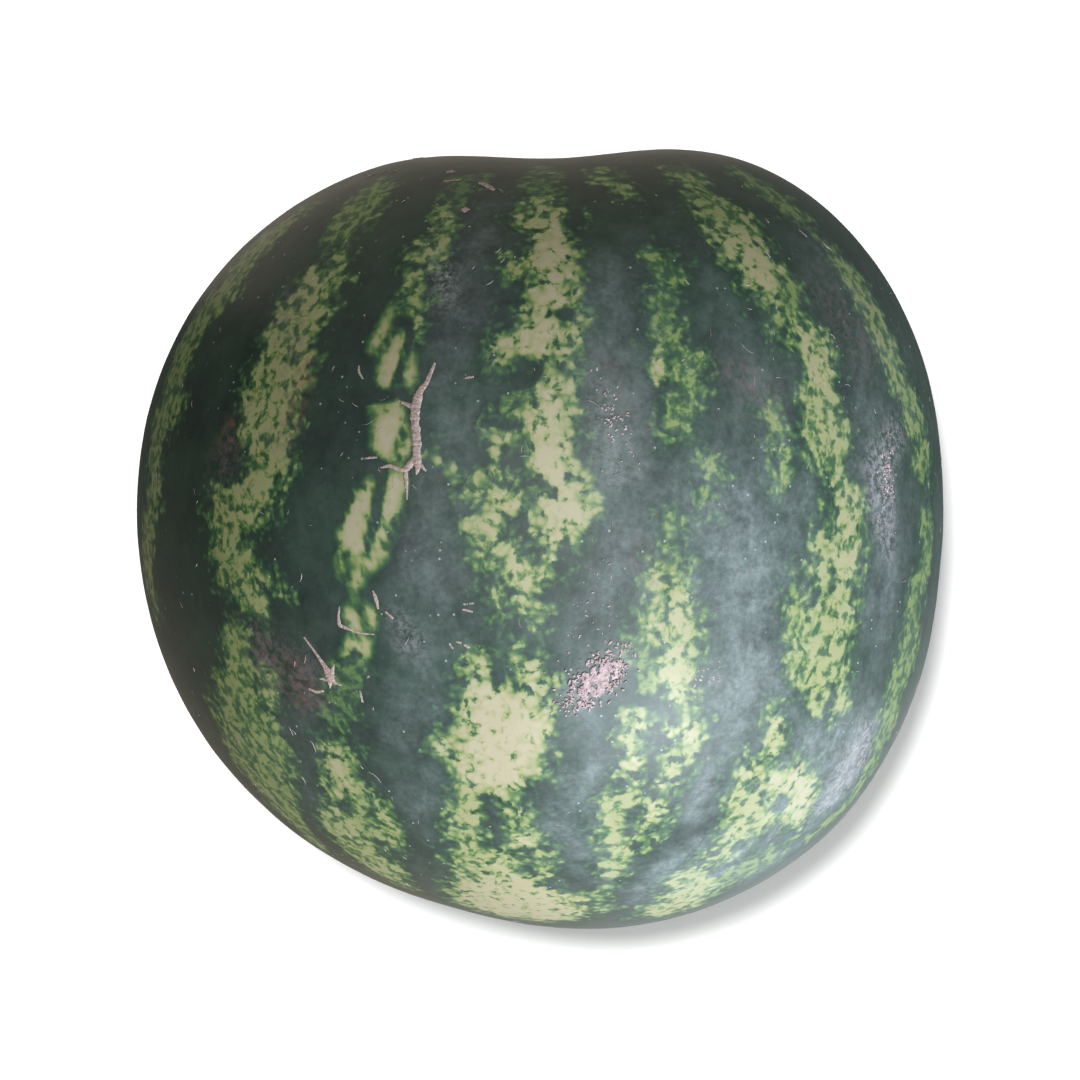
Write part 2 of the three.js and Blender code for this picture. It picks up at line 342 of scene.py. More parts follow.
# Places where the green ground shows through a light stripe.
GREEN_ISLANDS = [
    (0.95, [(-42, 68, 0.7), (-44, 60, 1.1), (-45.5, 55, 1.3), (-47, 51.5, 2.2)]),
    (0.85, [(-47, 50.5, 2), (-44, 48, 1.5)]),
    (0.9, [(-57, 47.5, 1.2), (-51, 47, 1.4), (-45, 46.5, 1)]),
    (0.95, [(-45, 35.5, 1), (-47, 31.5, 1.5), (-48, 27, 1.3)]),
    (0.9, [(-55, 24, 1.2), (-47, 23.5, 1)]),
    (0.95, [(-50, 22, 0.8), (-52.5, 14, 1.5), (-53.5, 6, 1.7), (-56, -1, 1.1), (-57, -6, 0.8)]),
    (0.85, [(-59, 18, 0.6), (-63, 12, 1), (-65, 6, 0.9)]),
    (0.8, [(-48, 6, 0.6), (-50, 0, 0.9), (-54, -4, 0.6)]),
    (0.75, [(-57, 9, 0.4), (-60, 3, 0.7)]),
    (0.8, [(-58, -23, 0.5), (-57.5, -28, 0.5)]),
    (1.0, [(-13.5, -43, 1.6), (-13.5, -48.5, 1.2)]),
    (1.0, [(-9, -45, 1), (-9, -49.5, 1)]),
    (0.9, [(8, 73, 2.4)] * 2),
    (0.9, [(1, 18.5, 1.6), (4, 17, 2)]),
    (0.8, [(-84, 60, 1.6), (-82, 59, 2)]),
    (0.8, [(-105, 31, 6), (-102, 23, 4)]),
]

strokes = [(*stroke_on_rind(points), (paleness, RAGGED)) for paleness, points in FACING_STRIPES]
strokes += [(*stroke_on_rind(points, 1.5), (paleness, SMOOTH)) for paleness, points in LEAF_ISLANDS]
print(len(strokes), "strokes laid by eye")

# %% [markdown]
# The fruit has fifteen light stripes in all, so eight more run down the side that lies away from
# the eye. They are grown by rule: each follows its own meridian, wanders a little, swells and
# pinches as it goes, and throws side patches. All draws come from one seeded source.

# %% Light stripes on the far side
rng = np.random.default_rng(15)
HIDDEN_STRIPES = 8
FIRST_TURN, LAST_TURN = math.radians(94), math.radians(258)
STRIPE_HALF_WIDTH = 8.0
SIDE_PATCHES = 5
WAVE_PEAK = 1.3


def wave(places, count):
    """A smooth wandering line from a few random waves, between about -1 and 1."""
    line = 0
    for k in range(1, count + 1):
        line = line + rng.normal() / k * np.sin(k * places + rng.uniform(0, 2 * math.pi))
    return line / WAVE_PEAK


for turn in np.linspace(FIRST_TURN, LAST_TURN, HIDDEN_STRIPES):
    polar = np.radians(np.arange(8, 172, 1.6))
    wander = turn + np.radians(2.4) * wave(polar * 2, 5)
    girth = np.sin(polar) ** 0.6
    half_width = STRIPE_HALF_WIDTH * girth * np.clip(0.85 + 0.55 * wave(polar * 4, 6), 0.12, 1.7)
    route = rind_point(fruit_direction(polar, wander))
    strokes.append((route, half_width, (rng.uniform(0.6, 0.9), WILD)))
    for _ in range(SIDE_PATCHES):
        start = rng.integers(10, len(polar) - 14)
        piece = slice(start, start + rng.integers(4, 9))
        aside = np.radians(rng.choice([-1, 1]) * rng.uniform(4, 7))
        patch = rind_point(fruit_direction(polar[piece], wander[piece] + aside))
        strokes.append((patch, np.full(len(patch), rng.uniform(2, 4)), (rng.uniform(0.5, 0.9), WILD)))
print(len(strokes), "strokes in all")

# %% [markdown]
# From the strokes, every point of the net gets one number: how many millimetres it lies inside
# the nearest stripe, or outside it if the number is below zero. The material reads that depth and
# roughens it. Other marks on the skin, such as russet and scuffs, are laid in the same way.

# %% Depth of each point in the stripes
FAR_OUTSIDE = -60.0
BLEND_WIDTH = 1.5
CRISPNESS = 0.8

skin = rind_point(net).reshape(-1, 3)


def depth_in(route, half_width, points):
    """How far inside a stroke the points lie, in millimetres."""
    best = np.full(len(points), FAR_OUTSIDE, np.float32)
    near = np.linalg.norm(points - route.mean(0), axis=1) < np.ptp(route, axis=0).max() - FAR_OUTSIDE
    close = points[near].astype(np.float32)
    for a, b, wide_a, wide_b in zip(route[:-1], route[1:], half_width[:-1], half_width[1:]):
        run = (b - a).astype(np.float32)
        part = np.clip((close - a.astype(np.float32)) @ run / (run @ run + 1e-6), 0, 1)
        gap = np.linalg.norm(close - (a + part[:, None] * run), axis=1)
        best[near] = np.maximum(best[near], wide_a + (wide_b - wide_a) * part - gap)
    return best


def deepest(all_strokes, points):
    """The depth in whichever stroke holds each point best, and its values. A smooth one is crisper."""
    depth = np.full(len(points), FAR_OUTSIDE)
    weight, blend = np.full(len(points), 1e-12), 0
    for route, half_width, values in all_strokes:
        here = depth_in(route, half_width, points) / values[-1] ** CRISPNESS
        pull = np.exp(np.clip(here, -50, 20) / BLEND_WIDTH)
        depth = np.maximum(depth, here)
        weight += pull
        blend = blend + pull * np.array(values)[:, None]
    return depth, blend / weight


stripe_depth, (stripe_pale, stripe_ragged) = deepest(strokes, skin)
print("share of the rind inside light stripes", round(float((stripe_depth > 0).mean()), 2))

# %% [markdown]
# A stripe deeper than a centimetre shows no change, so the depth stops there, and the green holes
# are then cut into it. Russet, scuffs and blushes are laid as strokes too, with a strength each.
# A scuff stronger than 0.9 is rubbed through, so the material makes it solid.

# %% Holes, russet, scuffs and blushes
DEEPEST_SHOWN = 11
HOLE_DEPTH, HOLE_SOFTNESS = 13, 0.6
RUSSET = [
    (1, [(-93, -31, 3), (-90, -37, 5), (-86, -44, 4)]),
    (0.8, [(-84, -38, 4), (-78, -44, 6), (-75, -51, 4)]),
    (1, [(64, 54, 3), (70, 50, 4), (74, 46, 3)]),
    (0.6, [(-102, 28, 4), (-104, 18, 3)]),
    (0.8, [(24, 57, 2), (27, 46, 3), (26, 36, 2.5)]),
    (0.7, [(32, -3, 2), (33, -12, 2.5)]),
    (0.7, [(-82, 76, 5), (-80, 60, 4), (-84, 32, 4)]),
    (0.6, [(92, 82, 4), (100, 72, 5), (106, 62, 5)]),
]
SCUFFS = [
    (0.9, [(116, 34, 3), (113, 29, 3.6), (110, 25, 4), (111, 18, 4.4), (112, 10, 4), (113, 3, 2.6),
           (114, -6, 1)]),
    (1.2, [(95, -84, 2.5), (101, -75, 4), (105, -65, 2.5)]),
    (0.7, [(-34, 92, 1.5), (-31, 84, 4), (-30, 78, 2)]),
    (0.35, [(18, 52, 2), (20, 38, 4), (24, 22, 4)]),
    (0.5, [(-46, -26, 3), (-42, -34, 4)]),
    (0.7, [(11, -51, 2), (18, -46, 3.6), (25, -40, 3)]),
]
BLUSHES = [
    (1, [(-76.5, 57, 0.8), (-77.5, 54, 1.5), (-77, 51, 0.9)]),
    (1, [(-99, 38, 0.7), (-101, 34.5, 1.6), (-102, 32.5, 0.8)]),
    (0.45, [(-79, 46, 2), (-82, 38, 2)]),
    (0.3, [(-80, -40, 1.5), (-77, -47, 2), (-78, -53, 2)]),
    (0.3, [(-75, -47, 1.2), (-72, -52, 1.6)]),
    (0.35, [(-89, -38, 1.6), (-86, -43, 1.4)]),
]


def soft_edge(depth, soft):
    return 1 / (1 + np.exp(-depth / soft))


def marks(table, soft):
    """For each point, the share of a mark that it shows: its strength, faded out at its edge."""
    laid = [(*stroke_on_rind(points, 1.5), (strength, 1.0)) for strength, points in table]
    depth, (strength, _) = deepest(laid, skin)
    return soft_edge(depth, soft) * strength


stripe_depth = np.minimum(stripe_depth, DEEPEST_SHOWN) - HOLE_DEPTH * marks(GREEN_ISLANDS, HOLE_SOFTNESS)
russet, scuff, blush = marks(RUSSET, 2.5), marks(SCUFFS, 1.5), marks(BLUSHES, 1.5)
print("share of the rind with russet", round(float((russet > 0.3).mean()), 3))

# %% [markdown]
# A grey wax bloom covers the skin where nothing rubbed it off. It is laid thickest on the side towards
# the lower right of the view. There it is partly wax and partly a painted sheen of the window, and a narrow
# cloud along the upper right edge is a painted reflection. The patch that lay on the soil never saw the sun
# and stayed yellow.

# %% Bloom with painted sheen, and ground patch
# Wax is laid thicker towards this side, and there it also paints the window's sheen.
BLOOM_AND_SHEEN_SIDE = np.array([0.58, -0.42, 0.70])
BLOOM_AND_SHEEN_FULL_AT = 0.95
BLOOM_EVERYWHERE, BLOOM_AND_SHEEN_ON_ITS_SIDE, BLOOM_AND_SHEEN_IN_CLOUDS, CLOUD_SOFTNESS = 0.05, 0.24, 0.6, 4
GROUND_SPOT_RADIUS = 52
# Streaky clouds of wax. Those on the right and lower right also paint the window's sheen, and the narrow
# one along the upper right edge is a painted reflection streak.
BLOOM_AND_SHEEN_CLOUDS = [
    (0.9, [(56, 24, 8), (58, 0, 13), (62, -20, 16), (66, -40, 17), (62, -62, 12), (50, -84, 8)]),
    (0.6, [(24, 84, 6), (20, 62, 9), (22, 36, 11), (24, 12, 12), (26, -12, 10)]),
    (0.7, [(16, -52, 6), (16, -72, 8), (12, -92, 9), (18, -108, 7)]),
    (0.55, [(74, 46, 6), (80, 8, 8), (84, -14, 6)]),
    (1.25, [(88, -66, 8), (92, -78, 12), (76, -98, 9), (52, -110, 8)]),
    (1.5, [(94, -84, 3), (100, -75, 5), (105, -66, 4)]),
    (0.4, [(106, 34, 6), (110, 10, 8), (110, -20, 6)]),
    (0.45, [(92, 94, 3), (104, 80, 4), (114, 62, 4), (121, 44, 3)]),
    (0.45, [(-30, 62, 6), (-28, 40, 8), (-34, 10, 8), (-34, -10, 8)]),
    (0.25, [(-36, -30, 8), (-40, -56, 7), (-38, -84, 7)]),
    (0.3, [(-78, -58, 5), (-80, -72, 5), (-76, -84, 4)]),
    (0.5, [(-20, 108, 5), (-22, 92, 6), (-24, 76, 6)]),
]

directions = net.reshape(-1, 3)
facing = np.clip(directions @ BLOOM_AND_SHEEN_SIDE / BLOOM_AND_SHEEN_FULL_AT, 0, 1)
facing = facing * facing * (3 - 2 * facing)
wax_and_sheen_clouds = marks(BLOOM_AND_SHEEN_CLOUDS, CLOUD_SOFTNESS)
bloom_and_sheen = BLOOM_EVERYWHERE + BLOOM_AND_SHEEN_ON_ITS_SIDE * facing + BLOOM_AND_SHEEN_IN_CLOUDS * wax_and_sheen_clouds
ground_depth = GROUND_SPOT_RADIUS - angle_to(directions, DOWN) * MEAN_RADIUS
print("bloom from", round(float(bloom_and_sheen.min()), 2), "to", round(float(bloom_and_sheen.max()), 2))

# %% [markdown]
# The mesh itself carries more than the smooth formula: shallow dips and swellings a few
# centimetres wide and a third of a millimetre deep, as on any grown skin. They are made in the
# mesh, because low light from the side shows them, and a bump in the material would be lost there.

# %% Rind mesh
DIP_WIDTH, DIP_DEPTH = 26, 0.35
FINE_DIP_WIDTH, FINE_DIP_DEPTH = 7, 0.07


def dips(points):
    def one(point):
        return (DIP_DEPTH * noise.noise(Vector(point / DIP_WIDTH))
                + FINE_DIP_DEPTH * noise.noise(Vector(point / FINE_DIP_WIDTH)))
    return np.array([one(point) for point in points])


relief = dips(skin)
skin_mm = skin + directions * relief[:, None]
skin_mm[:, 2] = np.maximum(skin_mm[:, 2], 0)


def smooth_mesh(name, points_mm, faces):
    mesh = bpy.data.meshes.new(name)
    mesh.from_pydata((points_mm * MM).tolist(), [], faces)
    mesh.polygons.foreach_set("use_smooth", [True] * len(faces))
    return mesh


def placed(name, data):
    """An object with this data, put into the scene."""
    thing = bpy.data.objects.new(name, data)
    bpy.context.scene.collection.objects.link(thing)
    return thing


def rind_mesh(points):
    """A net of quads with one point at each end and a map for baking."""
    first, last = 0, ROWS
    inner = points.reshape(ROWS + 1, COLUMNS, 3)[1:ROWS].reshape(-1, 3)
    verts = np.vstack([points[:1], inner, points[-1:]])
    faces, places = [], []

    def at(row, column):
        if row == first:
            return 0
        return len(verts) - 1 if row == last else 1 + (row - 1) * COLUMNS + column % COLUMNS

    for row in range(ROWS):
        for column in range(COLUMNS):
            corners = [(row, column), (row + 1, column), (row + 1, column + 1), (row, column + 1)]
            if row == first:
                corners = [(row, column), (row + 1, column), (row + 1, column + 1)]
            if row + 1 == last:
                corners = [(row, column), (row + 1, column), (row, column + 1)]
            faces.append([at(*corner) for corner in corners])
            places += [(c / COLUMNS, 1 - r / ROWS) for r, c in corners]
    mesh = smooth_mesh("rind", verts, faces)
    bake_map = mesh.uv_layers.new(name="OFBake")
    bake_map.data.foreach_set("uv", np.array(places, np.float32).ravel())
    return mesh


def per_vertex(values):
    """The net's values in the order of the mesh's vertices."""
    inner = values.reshape(ROWS + 1, COLUMNS)[1:ROWS].ravel()
    return np.r_[values[:1], inner, values[-1:]].astype(np.float32)


rind_data = rind_mesh(skin_mm)
MARK_LAYERS = {
    "stripe_depth": stripe_depth,
    "stripe_pale": stripe_pale,
    "stripe_ragged": stripe_ragged,
    "bloom_and_sheen": bloom_and_sheen,
    "ground_depth": ground_depth,
    "russet": russet,
    "scuff": scuff,
    "blush": blush,
}
for name, values in MARK_LAYERS.items():
    rind_data.attributes.new(name, "FLOAT", "POINT").data.foreach_set("value", per_vertex(values))
rind = placed("rind", rind_data)
print("rind:", len(rind_data.polygons), "faces")

# %% [markdown]
# Colours are picked as sRGB hex values, as a paint maker would name them, and one function turns
# them to the linear values that light works with. Another small function adds a node with its
# settings and links to the material that is being built. Most patterns on a fruit are patches of
# some width in millimetres, so noise and the range that is cut from it are put in together.
# In a Mix of colours, input 0 is the share, inputs 6 and 7 are the colours and output 2 is the mix.

# %% Helpers for materials
def linear(hex_colour):
    channels = [int(hex_colour[k:k + 2], 16) / 255 for k in (1, 3, 5)]
    return [c / 12.92 if c <= 0.04045 else ((c + 0.055) / 1.055) ** 2.4 for c in channels] + [1]


def empty_material(name):
    """A material with no nodes yet. Its tree becomes the one that add() builds in."""
    global tree
    material = bpy.data.materials.new(name)
    material.use_nodes = True
    tree = material.node_tree
    tree.nodes.clear()
    return material


def add(kind, inputs=(), output=0, **settings):
    """One node with its settings and its inputs, in order or by name, and the output that is used."""
    new = tree.nodes.new("ShaderNode" + kind)
    for name, value in settings.items():
        setattr(new, name, value)
    for socket, value in inputs.items() if isinstance(inputs, dict) else enumerate(inputs):
        if isinstance(value, bpy.types.NodeSocket):
            tree.links.new(value, new.inputs[socket])
        else:
            new.inputs[socket].default_value = value
    return new.outputs[output] if new.outputs else None


def set_stops(colour, stops):
    """Gives the colour ramp behind a colour its stops."""
    elements = colour.node.color_ramp.elements
    while len(elements) < len(stops):
        elements.new(1)
    for element, (place, hex_colour) in zip(elements, stops):
        element.position = place
        element.color = linear(hex_colour)


def patches(place, size, detail, rough, low, high, to_low=0.0, to_high=1.0):
    """Patches about so many millimetres wide, from the part of the noise between low and high."""
    cloud = add("TexNoise", {"Vector": place, "Scale": 1 / size, "Detail": detail, "Roughness": rough})
    return add("MapRange", (cloud, low, high, to_low, to_high))


# %% [markdown]
# Watermelon rind is a living skin: a waxed cuticle over green cells. The light stripes are cells
# with little green in them, and the border is ragged at every scale from 10 mm down to about two.
# Here the depth from the mesh is pushed in and out by a fractal noise and by rounded blobs of two
# sizes, more where the stroke is ragged. The blobs' seams eat into a stripe, so it is first grown
# by a millimetre. One slow swirl bends these patterns, so that none of them lines up.

# %% Waxed rind: the ragged edge
SWIRL, SWIRL_PUSH = 9.0, 4.5
FRACTAL, FRACTAL_PUSH = 9.0, 9.0
BLOBS = [(5.0, 5.0), (2.4, 5.5)]
STRIPE_GROWTH = 1.0

waxed_rind = empty_material("waxed_rind")
layer = {name: add("Attribute", (), "Fac", attribute_name=name) for name in MARK_LAYERS}
place = add("VectorMath", {0: add("TexCoord", (), "Object"), "Scale": 1 / MM}, operation="SCALE")
swirl = add("TexNoise", {"Vector": place, "Scale": 1 / SWIRL, "Detail": 2}, "Color")
swirl = add("VectorMath", (swirl, (0.5, 0.5, 0.5)), operation="SUBTRACT")
swirl = add("VectorMath", {0: swirl, "Scale": SWIRL_PUSH}, operation="SCALE")
bent = add("VectorMath", (place, swirl), operation="ADD")

fractal = add("TexNoise", {"Vector": bent, "Scale": 1 / FRACTAL, "Detail": 4, "Roughness": 0.55})
push = add("MapRange", (fractal, 0.2, 0.8, -FRACTAL_PUSH / 2, FRACTAL_PUSH / 2))
for size, blob_push in BLOBS:
    # A rounded cell is pushed out in its middle and in at its seams.
    seam = add("TexVoronoi", {"Vector": bent, "Scale": 1 / size, "Smoothness": 0.25}, "Distance",
               feature="SMOOTH_F1")
    seam = add("MapRange", (seam, 0.05, 0.8, blob_push / 2, -blob_push / 2))
    push = add("Math", (push, seam), operation="ADD")
push = add("Math", (push, layer["stripe_ragged"]), operation="MULTIPLY")
grown = add("Math", (layer["stripe_depth"], STRIPE_GROWTH), operation="ADD")
pushed = add("Math", (grown, push), operation="ADD")

# %% [markdown]
# Inside a light stripe small green flecks lie between the pale cells, drawn out along the fruit.
# A fleck lowers the depth, the more so the paler the stripe is, so it is olive in the cream and
# leaf green nearer the fringe. How pale a stripe may get is capped by its paleness, so a faint one
# stays green all through. A ramp over what is left goes from dark ground over a leaf green fringe
# and yellow green to cream.

# %% Flecks, paleness and the stripe's colours
FLECK, FLECK_STRETCH, FLECK_RISE = 2.9, 0.85, 0.17
RAMP_FROM, RAMP_TO = -6.0, 8.0
FRINGE = [(-6, "#1f342a"), (-3.4, "#27442f"), (-1.3, "#385c38"), (0.1, "#52733f"), (1.3, "#768b4f"),
          (2.6, "#949a6a"), (4.8, "#a7a27f"), (8, "#b0a98e")]

drawn_out = add("VectorMath", (bent, (1, FLECK_STRETCH, 1)), operation="MULTIPLY")
fleck_from = add("MapRange", (layer["stripe_pale"], 0.4, 1, 0.43, 0.53))
fleck_to = add("Math", (fleck_from, FLECK_RISE), operation="ADD")
fleck = patches(drawn_out, FLECK, 3, 0.55, fleck_from, fleck_to)
fleck_share = add("MapRange", (layer["stripe_ragged"], 0.2, 1, 0.3, 1))
fleck_drop = add("MapRange", (layer["stripe_pale"], 0.5, 1, 4, 9))
for factor in (fleck_share, fleck_drop):
    fleck = add("Math", (fleck, factor), operation="MULTIPLY")
cap = add("MapRange", (layer["stripe_pale"], 0, 1, -4, RAMP_TO))
shown = add("Math", (pushed, cap), operation="MINIMUM")
shown = add("Math", (shown, fleck), operation="SUBTRACT")
stripe_colour = add("ValToRGB", [add("MapRange", (shown, RAMP_FROM, RAMP_TO))])
span = RAMP_TO - RAMP_FROM
set_stops(stripe_colour, [((depth - RAMP_FROM) / span, colour) for depth, colour in FRINGE])

# %% [markdown]
# The dark ground is not one green. It drifts between a bluish and a warmer dark over a few
# centimetres. The wax bloom, with the window's sheen painted into it, lies on it in thin streaky
# clouds, rubbed along the fruit, with a grain of about a millimetre and a half. On the pale stripes
# the same wax and painted sheen only whiten a little.

# %% Dark ground, bloom and painted sheen
RIND_DARK, RIND_DARK_WARM, DRIFT = "#1a2a23", "#243d2f", 24
WAX_AND_SHEEN_GREY, WAX_AND_SHEEN_ON_PALE = "#9eabac", "#b8c0ac"
STREAK, STREAK_STRETCH, BLOOM_PATCH, BLOOM_GRAIN = 9.0, 0.5, 6.0, 1.6

drift = patches(place, DRIFT, 3, 0.6, 0.35, 0.65)
ground_colour = add("Mix", {0: drift, 6: linear(RIND_DARK), 7: linear(RIND_DARK_WARM)}, 2, data_type="RGBA")
inside = add("MapRange", (pushed, -6, -2.5))
skin_colour = add("Mix", {0: inside, 6: ground_colour, 7: stripe_colour}, 2, data_type="RGBA")

rubbed = add("VectorMath", (bent, (1, STREAK_STRETCH, 1)), operation="MULTIPLY")
streaks = patches(rubbed, STREAK, 4, 0.55, 0.34, 0.66, 0.5)
blotches = patches(bent, BLOOM_PATCH, 4, 0.65, 0.34, 0.64, 0.6)
grain = patches(place, BLOOM_GRAIN, 2, 0.7, 0.34, 0.66, 0.65)
# Wax bloom, with the window's sheen painted into it on the lower right side.
wax_and_sheen = layer["bloom_and_sheen"]
for pattern in (streaks, blotches, grain):
    wax_and_sheen = add("Math", (wax_and_sheen, pattern), operation="MULTIPLY")
on_pale = add("MapRange", (shown, -3, 2))
wax_and_sheen_colour = add("Mix", {0: on_pale, 6: linear(WAX_AND_SHEEN_GREY), 7: linear(WAX_AND_SHEEN_ON_PALE)}, 2, data_type="RGBA")
wax_and_sheen_hold = add("MapRange", (pushed, -11, -4, 1.05, 0.7))
wax_and_sheen_cover = add("Math", (wax_and_sheen, wax_and_sheen_hold), operation="MULTIPLY", use_clamp=True)
skin_colour = add("Mix", {0: wax_and_sheen_cover, 6: skin_colour, 7: wax_and_sheen_colour}, 2, data_type="RGBA")

# %% [markdown]
# Russet is skin that turned to a thin net of cork, a scuff is wax rubbed white, and a blush is a
# small reddish graze. Each lies where the mesh says, broken up by its own noise. Pale pores lie
# over all of it in loose clusters. They are drawn a little larger than the real ones, so that they
# show. The side that lay on the soil has a yellow patch with a ragged edge.

# %% Marks, pores and ground patch
RUSSET_CORK, SCUFF_WHITE, BLUSH_RED, PORE, SOIL_SIDE = "#756a6b", "#aeabb0", "#9c655c", "#a9b8b2", "#cdb878"
RUSSET_NET, SCUFF_NET, BLUSH_NET = 2.6, 2.0, 3.0
PORE_SPACING, PORE_CLUSTER = 2.6, 20.0
SOIL_PUSH = 16


def coated(under, share, strength, colour):
    """A colour laid over another, where there is a share of it."""
    cover = add("Math", (share, strength), operation="MULTIPLY")
    return add("Mix", {0: cover, 6: under, 7: linear(colour)}, 2, data_type="RGBA")


russet_net = patches(bent, RUSSET_NET, 4, 0.75, 0.44, 0.6)
russet_share = add("Math", (layer["russet"], russet_net), operation="MULTIPLY")
skin_colour = coated(skin_colour, russet_share, 0.75, RUSSET_CORK)

scuff_net = patches(place, SCUFF_NET, 4, 0.8, 0.44, 0.58, 0, 0.8)
rubbed_through = add("MapRange", (layer["scuff"], 0.9, 1.5, 0, 0.5))
scuff_net = add("Math", (scuff_net, rubbed_through), operation="MAXIMUM")
scuff_share = add("Math", (layer["scuff"], scuff_net), operation="MULTIPLY", use_clamp=True)
skin_colour = coated(skin_colour, scuff_share, 0.85, SCUFF_WHITE)

blush_net = patches(place, BLUSH_NET, 3, 0.6, 0.42, 0.6)
blush_share = add("Math", (layer["blush"], blush_net), operation="MULTIPLY")
skin_colour = coated(skin_colour, blush_share, 0.8, BLUSH_RED)

from_pore = add("TexVoronoi", {"Vector": place, "Scale": 1 / PORE_SPACING}, "Distance")
luck = add("SeparateColor", [from_pore.node.outputs["Color"]], 1)
cluster = patches(place, PORE_CLUSTER, 2, 0.6, 0.4, 0.62, -0.22, 0.12)
luck = add("Math", (luck, cluster), operation="ADD")
chosen = add("MapRange", (luck, 0.8, 0.84))
pore = add("Math", (add("MapRange", (from_pore, 0.09, 0.17, 1, 0)), chosen), operation="MULTIPLY")
skin_colour = coated(skin_colour, pore, 0.75, PORE)

soil_push = add("MapRange", (fractal, 0.2, 0.8, -SOIL_PUSH, SOIL_PUSH))
soil_edge = add("Math", (layer["ground_depth"], soil_push), operation="ADD")
skin_colour = coated(skin_colour, add("MapRange", (soil_edge, -9, 8)), 0.94, SOIL_SIDE)

# %% [markdown]
# The cuticle is satin: polished by handling, duller under the wax. Its index of refraction is
# that of plant wax, about 1.45. The bump is only the fine grain of the cells, under a tenth of a
# millimetre, and anything larger is in the mesh.

# %% Gloss of the rind
WAX_IOR = 1.45
CELL = 1.1

duller = add("MapRange", (wax_and_sheen, 0, 0.6, 0.3, 0.62))
uneven = add("MapRange", (drift, 0, 1, -0.03, 0.04))
dull = add("Math", (duller, uneven), operation="ADD")
cells = add("TexNoise", {"Vector": place, "Scale": 1 / CELL, "Detail": 3, "Roughness": 0.6})
scuff_relief = add("Math", (scuff_share, 0.8), operation="MULTIPLY")
cell_relief = add("Math", (cells, scuff_relief), operation="ADD")
micro = add("Bump", {"Height": cell_relief, "Strength": 0.25, "Distance": 0.12 * MM})
surface = add("BsdfPrincipled", {"Base Color": skin_colour, "Roughness": dull, "IOR": WAX_IOR,
                                 "Specular IOR Level": 0.45, "Normal": micro})
add("OutputMaterial", {"Surface": surface})
print("waxed_rind:", len(tree.nodes), "nodes")
rind_data.materials.append(waxed_rind)
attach(rind, "root")
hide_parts("watermelon")

# %% [markdown]
# Where a growing rind was scratched, it healed with raised cork: a rough pinkish tan ridge that
# stands half a millimetre or more out of the skin, with fine cracks across it. Each ridge is a
# closed rope-like body laid on the rind, its underside sunk below the skin, wide at its root and
# run out to a point. Its width along the way is in the list as right, up and half width.

# %% Body of a ridge
RIDGE_STEP = 0.35
RIDGE_SECTION = 12
RIDGE_SUNK = 0.5
CRACK_DEPTH = 0.3


def tangents(normal, reference):
    """Two directions along the skin, square to each other and to the normal."""
    first = np.cross(normal, reference)
    first /= np.linalg.norm(first, axis=-1, keepdims=True)
    return first, np.cross(normal, first)


def rind_normals(points):
    """Outward directions of the rind at points on it, from two small steps along it."""
    arm = points - middle
    along = arm / np.linalg.norm(arm, axis=1)[:, None]
    first, second = tangents(along, [0.0, 1.0, 0.1])

    def near(offset):
        moved = along + 0.01 * offset
        return rind_point(moved / np.linalg.norm(moved, axis=1)[:, None])

    normal = np.cross(near(first) - near(-first), near(second) - near(-second))
    normal /= np.linalg.norm(normal, axis=1)[:, None]
    return normal * np.sign((normal * along).sum(1))[:, None]


def tube_faces(rings, sides, start=0):
    """The faces between rings of points that are numbered one ring after the other."""
    faces = []
    for ring in range(rings - 1):
        for s in range(sides):
            a, b = start + ring * sides + s, start + ring * sides + (s + 1) % sides
            faces.append([a, b, b + sides, a + sides])
    return faces


def smooth_route(points, step):
    """A rounded line through given points, with their widths."""
    route = even_steps(points, step)
    for _ in range(3):
        route[1:-1] = (route[:-2] + 2 * route[1:-1] + route[2:]) / 4
    return route


def ridge_body(points, height):
    """Points and faces of one closed ridge along a route."""
    route = smooth_route(points, RIDGE_STEP)
    ridge = seen(route[:, 0], route[:, 1])
    normal = rind_normals(ridge)
    heading = np.gradient(ridge, axis=0)
    heading /= np.linalg.norm(heading, axis=1)[:, None]
    side = np.cross(normal, heading)
    verts = []
    for k, (centre, up, out, wide) in enumerate(zip(ridge, normal, side, route[:, 2])):
        crack = 1 - CRACK_DEPTH * (noise.noise(Vector((k * 1.1, 3.1, 7 * height))) > 0.2)
        for s in range(RIDGE_SECTION):
            turn = 2 * math.pi * s / RIDGE_SECTION
            rough = (1 + 0.3 * noise.noise(Vector((k * 0.23, 2.5 * math.cos(turn), height * 7)))
                     + 0.22 * noise.noise(Vector((k * 1.37, 4.1 * math.cos(turn), 5))))
            lift = height * min(1, wide / 1.2) * max(math.sin(turn), 0) ** 0.45 * (0.7 + 0.3 * rough)
            drop = RIDGE_SUNK * min(math.sin(turn), 0)
            aside = out * wide * rough * math.cos(turn)
            verts.append(centre + aside + up * (lift * crack + drop - 0.05))
    faces = tube_faces(len(ridge), RIDGE_SECTION)
    faces.append(list(range(RIDGE_SECTION))[::-1])
    faces.append(list(range(len(verts) - RIDGE_SECTION, len(verts))))
    return np.array(verts), faces


def fused(name, bodies, material):
    """One piece of cork from several closed bodies, riding on the fruit."""
    faces, count = [], 0
    for body_verts, body_faces in bodies:
        faces += [[index + count for index in face] for face in body_faces]
        count += len(body_verts)
    mesh = smooth_mesh(name, np.vstack([body_verts for body_verts, _ in bodies]), faces)
    mesh.materials.append(material)
    piece = placed(name, mesh)
    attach(piece, "root")
    print(name, len(faces), "faces")


# %% [markdown]
# Cork is dead, air-filled tissue: matt and dry. Its colour follows the height of its grain, partly its own
# tone and partly painted light: the crests are paler with a painted highlight, the hollows darker and
# warmer with painted shade. It is paler than the skin round it. Bands across the ridge stand for its
# stitched cracks.

